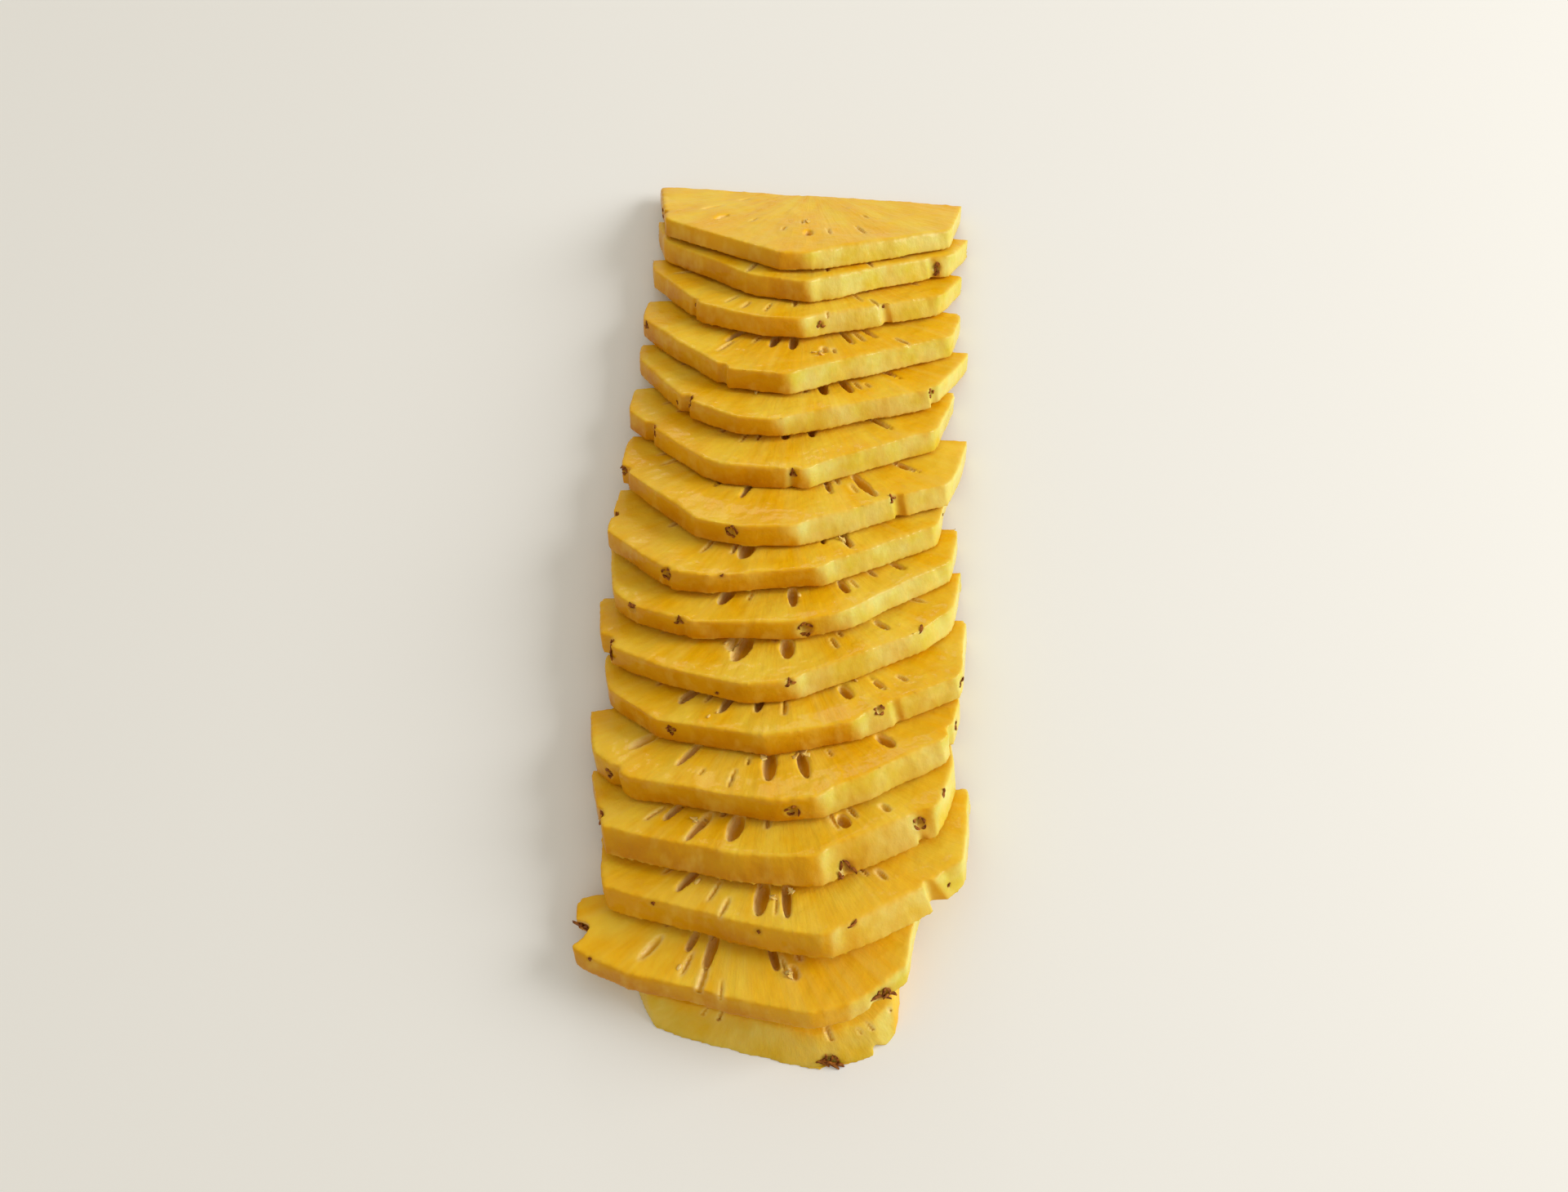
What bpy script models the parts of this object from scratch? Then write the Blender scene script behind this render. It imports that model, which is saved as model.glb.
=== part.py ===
"""A row of peeled pineapple slices, leaning one on the next like fallen dominoes.

Each slice is a thin segment of the peeled fruit: a straight cut beside the core stands on the
floor at the back, and the peeled rim, cut in flats by the knife, is raised at the front.
The front slice lies flat, and each slice behind it leans on the one in front of it.
"""
import math
from typing import NamedTuple

import bmesh
import bpy
from mathutils import Matrix, Vector

MM = 0.001

# The gap left between two slices where they touch.
GAP = 0.35 * MM
# How far behind a slice's straight back cut the middle of the fruit lies.
CORE = 7 * MM
# How deep an open seed slot goes into a slice, and its size at the bottom against the top.
SLOT_DEPTH = 2.8 * MM
SLOT_TAPER = 0.6
# The steps from one pointed end of a seed slot to the other.
SLOT_STEPS = 4
# How far a cutter stands out of the slice it cuts.
CUTTER_LIFT = 1.0 * MM


class Slice(NamedTuple):
    """One slice. Lengths are in millimetres and angles in degrees."""
    thick: float
    tilt: float      # the lean, up from the floor
    turn: float      # the turn about the vertical: positive brings the right end forward
    shift: float     # how far to the right the middle of the back cut stands
    flare: float     # how far the peeled rim spreads out toward the underside
    cuts: tuple      # each knife cut of the peel: its direction, its distance
    eyes: tuple      # each notch where an eye was dug out of the rim: direction, width, depth
    slots: tuple     # each open seed slot: direction, distance, length, width


# From the front slice to the back one. A direction of 0 is straight ahead, and 90 is to the
# right. Cuts and eyes are measured from the middle of the back cut, slots from the core.
SLICES = (
    Slice(thick=6.0, tilt=0, turn=-8, shift=-3, flare=7.5,
          cuts=((-72, 33), (-20, 17.2), (8.5, 21.5), (40, 27.8), (76, 29)),
          eyes=((40.5, 3.4, 3.2),),
          slots=()),
    Slice(thick=5.8, tilt=20, turn=-8, shift=-11, flare=1.8,
          cuts=((-96, 42), (-33, 36), (-20.5, 32.2), (5, 39.4), (29, 43.2), (72, 43)),
          eyes=((-78, 7, 4), (37, 3, 1.6)),
          slots=((-32, 27, 8, 1.8), (-21, 28, 12, 2.6), (9, 30, 10, 2.2))),
    Slice(thick=7.2, tilt=27, turn=-8.5, shift=-2, flare=2.0,
          cuts=((-88, 47), (-25, 35), (-14, 37), (20, 40), (40, 45), (77, 46)),
          eyes=((48, 5, 3.6),),
          slots=((-45, 35, 11, 2.4), (-13, 34, 11, 3.6), (-3, 35, 11, 2.4))),
    Slice(thick=7.6, tilt=30, turn=-7.5, shift=-4, flare=3.0,
          cuts=((-81, 48), (-23, 37), (-10, 37), (21, 39), (66, 45), (88, 44)),
          eyes=((-72, 3, 2), (46, 2.6, 2)),
          slots=((-47, 37, 9, 1.8), (-34, 38, 11, 2.0), (-20, 35, 10, 4), (22, 38, 6, 2.6))),
    Slice(thick=7.6, tilt=31, turn=-7, shift=-5, flare=0,
          cuts=((-84, 49), (-49, 47), (-22, 40), (0, 42), (25, 42), (69, 48), (88, 47)),
          eyes=((-60, 4, 1.5), (63, 4, 1.5)),
          slots=((-39, 36, 11, 2.2), (-5, 35, 13, 4), (8, 36, 12, 3), (40, 41, 9, 3))),
    Slice(thick=6.9, tilt=31, turn=-6.5, shift=-2.5, flare=0,
          cuts=((-85, 49), (-49, 46), (-20, 40), (5, 39), (25, 41), (79, 47)),
          eyes=((38, 3, 1),),
          slots=((-43, 38, 10, 2.4), (-27, 36, 10, 2.4), (-14, 34, 9, 3), (22, 36, 8, 3),
                 (35, 38, 10, 1.5))),
    Slice(thick=6.6, tilt=30.5, turn=-5, shift=-4, flare=0,
          cuts=((-86, 50), (-38, 46), (-24, 43), (0, 42), (25, 39), (45, 44), (75, 47)),
          eyes=((-68, 8, 3.5),),
          slots=((-19, 35, 13, 5), (0, 35, 9, 4), (41, 38, 9, 1.5))),
    Slice(thick=6.2, tilt=30, turn=-3, shift=-3.5, flare=0,
          cuts=((-83, 49), (-46, 50), (-28, 46), (-3, 40), (12, 40), (36, 40), (79, 46)),
          eyes=((-36, 2.6, 0.8),),
          slots=((-25, 38, 9, 3), (2, 36, 9, 2.4), (24, 36, 9, 1.8), (50, 38, 11, 1.6))),
    Slice(thick=6.4, tilt=30, turn=-1, shift=-6, flare=0,
          cuts=((-92, 46), (-45, 48), (-14, 46), (6, 41), (31, 41), (80, 46)),
          eyes=((-75, 3, 1.5), (-36, 2.6, 0.8)),
          slots=((-12, 38, 10, 4.5), (19, 36, 7, 1.5), (28, 37, 10, 2.2))),
    Slice(thick=6.9, tilt=29, turn=0.5, shift=-1.5, flare=0,
          cuts=((-93, 48), (-48, 47), (-15, 47), (1, 45), (27, 41), (75, 47)),
          eyes=((-70, 4, 2), (43, 3, 1.8)),
          slots=((-33, 36, 10, 1.5), (-20, 36, 13, 2), (16, 33, 11, 1.4), (31, 36, 14, 2.6),
                 (54, 36, 16, 1.5))),
    Slice(thick=6.6, tilt=28, turn=1, shift=-3, flare=0,
          cuts=((-89, 47), (-46, 43), (-23, 44), (-4, 42), (30, 40), (75, 45)),
          eyes=((-62, 4, 2), (2, 3, 1)),
          slots=((-2, 31, 8, 2.6), (11, 30, 9, 2), (45, 35, 16, 1.6))),
    Slice(thick=6.0, tilt=29, turn=2, shift=-1, flare=0,
          cuts=((-84, 48), (-54, 44), (-33, 44), (-2, 43), (24, 38), (66, 45)),
          eyes=((-44, 5, 2.5), (60, 4, 1.5)),
          slots=((-3, 31, 7, 3), (13, 31, 12, 2.6), (25, 32, 13, 2), (50, 33, 13, 1.5))),
    Slice(thick=6.7, tilt=29, turn=3, shift=-1, flare=0,
          cuts=((-90, 47), (-45, 42), (-7, 43), (31, 37), (83, 46)),
          eyes=((-27, 4, 1.5),),
          slots=((-33, 33, 11, 1.8), (-12, 30, 12, 2.6), (-2, 30, 11, 2.4), (28, 29, 14, 1.5),
                 (41, 30, 11, 1.5))),
    Slice(thick=6.2, tilt=30, turn=4, shift=0, flare=0.5,
          cuts=((-78, 47), (-50, 41), (-20, 38), (-3, 37), (28, 34), (70, 44)),
          eyes=((-48, 3, 1.5), (45, 3, 1.5)),
          slots=((-20, 29, 7, 1.8), (3, 29, 8, 2))),
    Slice(thick=6.6, tilt=30, turn=4.5, shift=1, flare=0.5,
          cuts=((-72, 46), (-36, 38), (-10, 38), (32, 35), (70, 45)),
          eyes=((65, 3, 1.5),),
          slots=((26, 34, 4, 1.6),)),
    Slice(thick=5.6, tilt=30, turn=5, shift=0, flare=0.5,
          cuts=((-77, 46), (-28, 43), (6, 46), (31, 42), (83, 47)),
          eyes=((-64, 3, 1.5),),
          slots=((4, 38, 5, 2.6), (-40, 38, 7, 1.5))),
)

FLESH = (0.83, 0.55, 0.10)
FLESH_ROUGHNESS = 0.35


def clear_scene():
    """Remove whatever the open file holds."""
    for item in list(bpy.data.objects):
        bpy.data.objects.remove(item, do_unlink=True)


def flesh_material():
    """Wet yellow fruit flesh."""
    material = bpy.data.materials.new("pineapple_flesh")
    material.use_nodes = True
    shader = material.node_tree.nodes["Principled BSDF"]
    shader.inputs["Base Color"].default_value = (*FLESH, 1.0)
    shader.inputs["Roughness"].default_value = FLESH_ROUGHNESS
    shader.inputs["Metallic"].default_value = 0.0
    return material


def heading(direction):
    """The unit vector of a direction in a slice's own plane, where -Y is straight ahead."""
    angle = math.radians(direction)
    return Vector((math.sin(angle), -math.cos(angle)))


def crossing(cut_a, cut_b):
    """Where two knife cuts meet. Each is its outward heading and its distance."""
    (a, reach_a), (b, reach_b) = cut_a, cut_b
    span = a.x * b.y - a.y * b.x
    return Vector((reach_a * b.y - reach_b * a.y, a.x * reach_b - b.x * reach_a)) / span


def peel_cuts(cuts, spread):
    """Each knife cut of the peel as its outward heading and its distance.

    The cuts ahead are pushed out by spread, and those at the ends stay where they are.
    """
    peel = []
    for direction, reach in cuts:
        ahead = max(0.0, math.cos(math.radians(direction)))
        peel.append((heading(direction), reach * MM + spread * ahead))
    return peel


def outline(cuts, spread=0.0):
    """The corners of a slice from its back left to its back right."""
    back_cut = (Vector((0.0, 1.0)), 0.0)
    lines = [back_cut] + peel_cuts(cuts, spread) + [back_cut]
    return [crossing(lines[i], lines[i + 1]) for i in range(len(lines) - 1)]


def rim_distance(spec, ahead):
    """How far the rim at the underside is from the middle of the back cut, along a heading."""
    distances = []
    for cut_heading, reach in peel_cuts(spec.cuts, spec.flare * MM):
        facing = cut_heading.dot(ahead)
        if facing > 0.0:
            distances.append(reach / facing)
    return min(distances)


def add_prism(shape, lower, upper, bottom, top):
    """Add a closed prism between two like outlines, one at each height."""
    low = [shape.verts.new((p.x, p.y, bottom)) for p in lower]
    high = [shape.verts.new((p.x, p.y, top)) for p in upper]
    shape.faces.new(low)
    shape.faces.new(high)
    for i in range(len(low)):
        j = (i + 1) % len(low)
        shape.faces.new((low[i], low[j], high[j], high[i]))


def link_object(name, shape):
    """Turn a bmesh into an object, with its faces pointing out."""
    mesh = bpy.data.meshes.new(name)
    bmesh.ops.recalc_face_normals(shape, faces=shape.faces)
    shape.to_mesh(mesh)
    shape.free()
    item = bpy.data.objects.new(name, mesh)
    bpy.context.collection.objects.link(item)
    return item


def add_eye_wedge(shape, spec, direction, width, depth):
    """Add the wedge that cuts a notch through the rim, pointed inside and straight outside."""
    ahead = heading(direction)
    side = Vector((-ahead.y, ahead.x)) * width * MM / 2
    rim = rim_distance(spec, ahead)
    point = ahead * (rim - depth * MM)
    outside = ahead * (rim + CUTTER_LIFT)
    wedge = (point, ahead * rim + side, outside + side, outside - side, ahead * rim - side)
    add_prism(shape, wedge, wedge, -CUTTER_LIFT, spec.thick * MM + CUTTER_LIFT)


def slot_outline(direction, distance, length, width, size):
    """A slot's pointed oval, along a line from the core, scaled by size about its middle."""
    ahead = heading(direction)
    side = Vector((-ahead.y, ahead.x))
    middle = Vector((0.0, CORE)) + ahead * distance * MM
    points = []
    for step in range(2 * SLOT_STEPS):
        angle = math.pi * step / SLOT_STEPS
        along = math.cos(angle) * length * MM / 2
        across = math.sin(angle) * width * MM / 2
        points.append(middle + (ahead * along + side * across) * size)
    return points


def add_slot_cutter(shape, spec, slot):
    """Add the tapered plug that cuts an open seed slot into the top of a slice."""
    taper = (1.0 - SLOT_TAPER) / SLOT_DEPTH
    lower = slot_outline(*slot, size=SLOT_TAPER)
    upper = slot_outline(*slot, size=1.0 + taper * CUTTER_LIFT)
    top = spec.thick * MM
    add_prism(shape, lower, upper, top - SLOT_DEPTH, top + CUTTER_LIFT)


def cut_hollows(item, spec):
    """Cut a slice's eye notches and seed slots with one Boolean."""
    shape = bmesh.new()
    for eye in spec.eyes:
        add_eye_wedge(shape, spec, *eye)
    for slot in spec.slots:
        add_slot_cutter(shape, spec, slot)
    cutter = link_object(f"{item.name}_cutter", shape)
    cutter.hide_render = True
    cutter.display_type = "WIRE"
    cutter.parent = item
    hollows = item.modifiers.new("hollows", "BOOLEAN")
    hollows.operation = "DIFFERENCE"
    hollows.solver = "EXACT"
    hollows.object = cutter


def placing(spec, back_edge):
    """The matrix that leans a slice with the middle of its back cut on the floor at back_edge."""
    lean = Matrix.Rotation(-math.radians(spec.tilt), 4, "X")
    turn = Matrix.Rotation(-math.radians(spec.turn), 4, "Z")
    return Matrix.Translation((spec.shift * MM, back_edge, 0.0)) @ turn @ lean


def corners(item, place):
    """The corners of an uncut slice, placed in the row."""
    return [place @ vertex.co for vertex in item.data.vertices]


def step_back(item, place, front, front_place, front_thick):
    """How far back a slice must move to clear the slice in front of it by GAP.

    Either every corner of the front slice lies under this one's underside, or every corner
    of this one lies over the front one's top. The shorter move is enough.
    """
    up = place.to_3x3() @ Vector((0.0, 0.0, 1.0))
    front_up = front_place.to_3x3() @ Vector((0.0, 0.0, 1.0))
    foot = place.translation
    front_top = front_place @ Vector((0.0, 0.0, front_thick))
    over = max((point - foot).dot(up) for point in corners(front, front_place))
    under = max((front_top - point).dot(front_up) for point in corners(item, place))
    moves = [(over + GAP) / up.y]
    if front_up.y > 0.0:
        moves.append((under + GAP) / front_up.y)
    return min(moves)


def build_row():
    """Stand the slices from the front one back, each leaning on the one before."""
    flesh = flesh_material()
    row = []
    back_edge = 0.0
    for number, spec in enumerate(SLICES, start=1):
        thick = spec.thick * MM
        shape = bmesh.new()
        add_prism(shape, outline(spec.cuts, spec.flare * MM), outline(spec.cuts), 0.0, thick)
        item = link_object(f"slice_{number:02d}", shape)
        item.data.materials.append(flesh)
        place = placing(spec, back_edge)
        if row:
            back_edge += step_back(item, place, *row[-1])
            place = placing(spec, back_edge)
        cut_hollows(item, spec)
        row.append((item, place, thick))
    return row


def centre(row):
    """Put the middle of the row's outer size at the origin, with the row on the floor."""
    points = [point for item, place, _ in row for point in corners(item, place)]
    low = Vector([min(point[axis] for point in points) for axis in range(3)])
    high = Vector([max(point[axis] for point in points) for axis in range(3)])
    middle = Matrix.Translation((-(low.x + high.x) / 2, -(low.y + high.y) / 2, -low.z))
    for item, place, _ in row:
        item.matrix_world = middle @ place


def main():
    clear_scene()
    centre(build_row())


main()
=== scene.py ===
# %% [markdown]
# A row of peeled pineapple slices
#
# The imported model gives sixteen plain, flat-faced slices in their true places. This script
# dresses them: it turns each one into wet fruit flesh with soft edges, seed slits and the
# brown woody bits that are left where the eyes were cut out. The first step loads the slices.
# They are a fixed frame, so nothing below ever moves them.

# %% Load the slices
import math
import random
from typing import NamedTuple

import bpy
import numpy as np
from mathutils import Matrix, Vector


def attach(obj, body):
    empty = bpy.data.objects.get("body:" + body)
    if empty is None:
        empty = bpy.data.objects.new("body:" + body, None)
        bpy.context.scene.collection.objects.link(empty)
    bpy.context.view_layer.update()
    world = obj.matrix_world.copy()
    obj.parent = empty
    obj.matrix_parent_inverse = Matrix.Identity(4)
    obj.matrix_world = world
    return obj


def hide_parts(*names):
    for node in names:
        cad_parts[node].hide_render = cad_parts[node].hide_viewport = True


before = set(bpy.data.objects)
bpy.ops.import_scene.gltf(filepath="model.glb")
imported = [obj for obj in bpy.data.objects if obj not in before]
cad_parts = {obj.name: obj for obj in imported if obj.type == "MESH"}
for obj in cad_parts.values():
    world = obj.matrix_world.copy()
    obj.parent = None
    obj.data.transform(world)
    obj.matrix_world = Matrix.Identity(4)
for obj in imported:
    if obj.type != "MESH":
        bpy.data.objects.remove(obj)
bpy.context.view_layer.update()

MM = 0.001


# %% [markdown]
# The camera
#
# A camera looks down its own -Z, with +Y up in the picture. Its place and its three
# directions are easiest to give as a matrix. Yaw and pitch turn the line of sight, and roll
# turns the picture about it. The lens is given for a sensor 36 mm wide, fitted across the
# picture's width, so the framing doesn't change with the picture's height.

# %% Camera
CAMERA_PLACE = Vector((17.8, -162.9, 349.0)) * MM
PITCH, YAW, ROLL = (math.radians(a) for a in (65.8, -7.16, -6.09))
LENS = 31.875

level_share = math.cos(PITCH)
sight = Vector((math.sin(YAW) * level_share, math.cos(YAW) * level_share, -math.sin(PITCH)))
level = sight.cross(Vector((0, 0, 1))).normalized()
upright = level.cross(sight)
picture_right = level * math.cos(ROLL) + upright * math.sin(ROLL)
picture_up = upright * math.cos(ROLL) - level * math.sin(ROLL)

camera_data = bpy.data.cameras.new("camera")
camera_data.lens = LENS
camera_data.sensor_width = 36.0
camera_data.sensor_fit = "HORIZONTAL"
camera_data.clip_start = 0.01
camera = bpy.data.objects.new("camera", camera_data)
bpy.context.scene.collection.objects.link(camera)
turn = Matrix((picture_right, picture_up, -sight)).transposed().to_4x4()
camera.matrix_world = Matrix.Translation(CAMERA_PLACE) @ turn
bpy.context.scene.camera = camera
print("camera looks along", tuple(round(v, 3) for v in sight))

# %% [markdown]
# Floor and light
#
# Wet fruit is shown best by large soft lights, because each small ripple then carries a
# broad, gentle highlight. The main light stands low on the right. It brightens the cut rims
# that face right, while the left ones get only the warm, even sky and stay deep gold. It is
# large and stands well back, because a close light burns out the floor beneath it. The
# tops lean away from the camera and mirror what is low behind the row, so a weak light
# stands there for their wet sheen.

# %% Floor and light
FLOOR_SIZE = 4.0
bpy.ops.object.select_all(action="DESELECT")
bpy.ops.mesh.primitive_plane_add(size=FLOOR_SIZE, location=(0, 0, 0))
floor = bpy.context.object
floor.name = "floor"
floor_paint = bpy.data.materials.new("pale_floor")
floor_paint.use_nodes = True
floor_shader = floor_paint.node_tree.nodes["Principled BSDF"]
floor_shader.inputs["Base Color"].default_value = (0.88, 0.89, 0.91, 1)
floor_shader.inputs["Roughness"].default_value = 0.6
floor.data.materials.append(floor_paint)


def soft_light(name, place, power, size, colour):
    """Add a square area light that faces the middle of the row."""
    data = bpy.data.lights.new(name, "AREA")
    data.energy, data.size, data.color = power, size, colour
    lamp = bpy.data.objects.new(name, data)
    lamp.location = place
    lamp.rotation_euler = (-Vector(place)).to_track_quat("-Z", "Y").to_euler()
    bpy.context.scene.collection.objects.link(lamp)


soft_light("key", (1.48, 0.18, 0.76), 21.7, 0.9, (1.0, 0.98, 0.93))
soft_light("back", (-0.10, 0.95, 0.26), 0.45, 0.22, (1.0, 0.98, 0.95))
bpy.context.scene.view_settings.view_transform = "Standard"
world = bpy.data.worlds.new("sky")
world.use_nodes = True
sky = world.node_tree.nodes["Background"]
sky.inputs["Color"].default_value = (1.0, 0.93, 0.78, 1)
sky.inputs["Strength"].default_value = 0.60
bpy.context.scene.world = world

# %% [markdown]
# Each slice's own directions
#
# A slice leans, so its seeds and eyes are easiest to place along its own directions: to
# the right along the straight back cut, ahead to the peeled rim, and up through its
# thickness. These are read from the slice's flats. The largest flat that looks up is the
# top, and the largest one that looks back is the back cut. Blender's polygons carry their
# normal and area, so both are found by adding up areas for each normal.

# %% Slice directions
# Where the middle of each back cut stands in x, in mm, from the front slice to the back one.
MIDDLE_X = (-0.3, -8.3, 0.7, -1.3, -2.3, 0.2, -1.3, -0.8, -3.3, 1.2, -0.3, 1.7, 1.7, 2.7, 3.7, 2.7)
# The front slices, whose rims keep the slope that their solids have.
FLARED = (1, 2)
# How far behind a back cut the middle of the fruit's core lies.
CORE = 7.0 * MM
# Two directions are square to each other when their product is smaller than this.
SQUARE = 0.02


class Axes(NamedTuple):
    """A slice's foot, which is the middle of its back cut on the floor, and its directions."""
    foot: np.ndarray
    right: np.ndarray
    ahead: np.ndarray
    up: np.ndarray
    thick: float


def slice_axes(node, middle_x):
    """Read a slice's directions from its flats."""
    areas = {}
    for polygon in node.data.polygons:
        key = tuple(round(v, 3) for v in polygon.normal)
        areas[key] = areas.get(key, 0.0) + polygon.area
    flats_up = [n for n in areas if n[2] > 0.5]
    up = Vector(max(flats_up, key=areas.get)).normalized()
    flats_back = [n for n in areas if n[1] > 0.5 and abs(Vector(n).dot(up)) < SQUARE]
    back = Vector(max(flats_back, key=areas.get)).normalized()
    right = up.cross(-back)
    points = [v.co for v in node.data.vertices]
    heights = [p.dot(up) for p in points]
    backmost = max(p.dot(back) for p in points)
    sides = Matrix((back, up, Vector((1, 0, 0))))
    foot = sides.inverted() @ Vector((backmost, min(heights), middle_x * MM))
    return Axes(*(np.array(v) for v in (foot, right, -back, up)), max(heights) - min(heights))


NAMES = [f"slice_{number:02d}" for number in range(1, 17)]
axes_of = {name: slice_axes(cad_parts[name], x) for name, x in zip(NAMES, MIDDLE_X)}
for name, axes in axes_of.items():
    lean = math.degrees(math.acos(min(1.0, axes.up[2])))
    print(name, f"lean {lean:.1f} thick {axes.thick / MM:.1f} mm")

# %% [markdown]
# Working on points and normals
#
# The next shapes are pressed into the flesh as a sculptor would do it, by moving points.
# NumPy moves all points of a mesh at once, so these helpers copy the points and normals
# out, turn them into a slice's own directions, and put the moved points back. Hardly any
# shape starts at once: a fade lets it grow from nothing to full over a short distance.

# %% Points
def read_points(piece):
    """The points and normals of a piece as two arrays."""
    count = len(piece.data.vertices)
    points, normals = np.empty(count * 3), np.empty(count * 3)
    piece.data.vertices.foreach_get("co", points)
    piece.data.vertices.foreach_get("normal", normals)
    return points.reshape(-1, 3), normals.reshape(-1, 3)


def write_points(piece, points):
    """Put moved points back into a piece."""
    piece.data.vertices.foreach_set("co", points.ravel())
    piece.data.update()


def own_place(points, axes):
    """How far each point lies to the right, ahead and up from a slice's foot."""
    away = points - axes.foot
    return away @ axes.right, away @ axes.ahead, away @ axes.up


def bearing(across, ahead):
    """Each point's direction from the foot in degrees: 0 is straight ahead, 90 to the right."""
    return np.degrees(np.arctan2(across, np.maximum(ahead, 1e-9)))


def heading(axes, direction):
    """The vector that points in such a direction, in the slice's plane."""
    angle = math.radians(direction)
    return axes.right * math.sin(angle) + axes.ahead * math.cos(angle)


def fade(values, start, full):
    """A share for each value: 0 at the start, 1 where it is full, and evenly between."""
    return np.clip((values - start) / (full - start), 0, 1)


def nearest_point(surface, place):
    """The point of a surface that lies nearest to a place."""
    return surface[int(((surface - place) ** 2).sum(axis=1).argmin())]


# %% [markdown]
# Rounding the rim
#
# The knife peels the fruit in flats, but where two flats meet the flesh is rounded, and
# no cut is quite straight. The rim's distance from the middle of the back cut is taken for
# each degree, averaged with its neighbours, and given slow uneven waves. Each point
# near the rim then moves by the same share as the rim beside it. The cuts that face right
# were made with a tilted knife: they slope, so their top edge stands further in.

# %% Round rim
DEGREES = np.arange(-90, 91)       # the directions in which the rim's distance is taken
HULL_STEP = 3                      # degrees from one side of the rim's hull to the next
GRAZING, FAR = 0.05, 1.0           # a side met flatter than this counts as a metre away
CORNER = 5.0                       # degrees over which the rim is averaged
ROUNDING = 0.45                    # how much of the averaged rim is mixed in
RIM_GAIN = 0.3 * MM                # what wearing down takes off the rim, given back here
WAVE_CYCLES = (3, 5, 8, 13, 21)    # waves in one full turn
WAVE_HEIGHT = 0.38 * MM
BACK_STAYS = 1.5 * MM              # points this near to the back cut stay
SLOPE = 2.0 * MM                   # how much further in a right-hand cut's top edge stands
# The shares of the way to the rim where points start to move with it, and move in full.
SOFT_PART = (0.72, 0.92)
# The directions that a sloped cut faces, in degrees: where the slope starts and is full, and
# where it has ended and was still full, beside the end cut.
SLOPE_START, SLOPE_END = (10, 22), (64, 56)


def rim_profile(across, ahead):
    """The distance of the rim's outer hull in each direction."""
    facing = np.radians(DEGREES[::HULL_STEP])
    reach = [(across * math.sin(side) + ahead * math.cos(side)).max() for side in facing]
    gaps = np.cos(np.radians(DEGREES)[:, None] - facing)
    distances = np.where(gaps > GRAZING, np.array(reach) / np.maximum(gaps, GRAZING), FAR)
    return distances.min(axis=1)


def averaged(values, weights):
    """Values along the rim, each averaged with its neighbours."""
    padded = np.pad(values, len(weights) // 2, mode="edge")
    return np.convolve(padded, weights / weights.sum(), mode="valid")


def slopes_right(profile):
    """How far the cut in each direction is one that faces right, but not the end cut."""
    bend = np.gradient(profile, math.radians(1)) / profile
    faces = DEGREES - np.degrees(np.arctan(bend))
    return averaged(fade(faces, *SLOPE_START) * fade(faces, *SLOPE_END), np.ones(7))


def round_rim(points, axes, draw, slope):
    """Round the rim's corners, slope its right cuts and make it a little uneven."""
    across, ahead, height = own_place(points, axes)
    profile = rim_profile(across, ahead)
    spread = np.arange(-3 * CORNER, 3 * CORNER + 1)
    even = averaged(profile, np.exp(-(spread / CORNER) ** 2))
    waves = np.zeros(len(DEGREES))
    for cycles in WAVE_CYCLES:
        size = WAVE_HEIGHT * draw.uniform(0.4, 1.0) / math.sqrt(cycles)
        waves += size * np.sin(np.radians(DEGREES) * cycles + draw.uniform(0, 6.28))
    share = ((1 - ROUNDING) * profile + ROUNDING * even + waves + RIM_GAIN) / profile
    direction = bearing(across, ahead)
    rim = np.interp(direction, DEGREES, profile)
    near = fade(np.hypot(across, ahead) / rim, *SOFT_PART)
    lean_in = slope * np.interp(direction, DEGREES, slopes_right(profile))
    lean_in *= np.clip(height / axes.thick, 0, 1)
    move = np.interp(direction, DEGREES, share) - 1 - lean_in / rim
    move *= near * near * (3 - 2 * near)
    move[ahead < BACK_STAYS] = 0
    return points + (across * move)[:, None] * axes.right + (ahead * move)[:, None] * axes.ahead


# %% [markdown]
# From a flat solid to soft flesh
#
# Fruit flesh has no sharp edges. A Bevel would round each edge alike, but on a mesh with
# slots cut into it, bevels run into each other. So a copy of the solid is rebuilt from
# small even faces by a voxel Remesh, and Smooth modifiers then wear its edges down. One
# works everywhere, and a stronger one only near the rim, through a vertex group. The
# upper rim gets it in full, so that it is much rounder than the lips of the slots. The
# lower rim gets less, except on the two front slices. Two Displace modifiers add the slow
# waves and the small lumps that a knife leaves in soft fruit. They pull mostly inward, so
# that the slices stay clear of each other.

# %% Soft flesh
VOXEL = 0.5 * MM
SAME_CORNER = 0.01 * MM            # corners nearer than this become one
RIM_BAND = (-4.5 * MM, -3.0 * MM)  # how far from the rim its wear starts, and where it is full
UPPER_HALF = (0.2, 0.5)            # shares of the thickness between which the upper rim begins
# How much of that wear the lower rim gets, and how much on the flared slices.
LOWER_WEAR, FLARED_WEAR = 0.35, 1.0
LEAST_WEIGHT = 0.02                # points with less weight stay out of the group
PULL_INWARD = 0.65                 # a Displace with a middle above 0.5 pulls more than it pushes


def only_selected(piece):
    """Deselect everything but one piece, and make it the active one."""
    bpy.ops.object.select_all(action="DESELECT")
    piece.select_set(True)
    bpy.context.view_layer.objects.active = piece


def cloud_texture(name, scale):
    """A soft grey cloud pattern for a Displace modifier."""
    texture = bpy.data.textures.new(name, "CLOUDS")
    texture.noise_scale = scale
    texture.noise_depth = 2
    return texture


KNIFE_WAVES = cloud_texture("knife_waves", 16 * MM)
FLESH_LUMPS = cloud_texture("flesh_lumps", 2.2 * MM)
# The Smooth modifiers: name, vertex group and how often they are repeated.
WEAR = (("wear", "", 2), ("wear_rim", "near_rim", 14))
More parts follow.
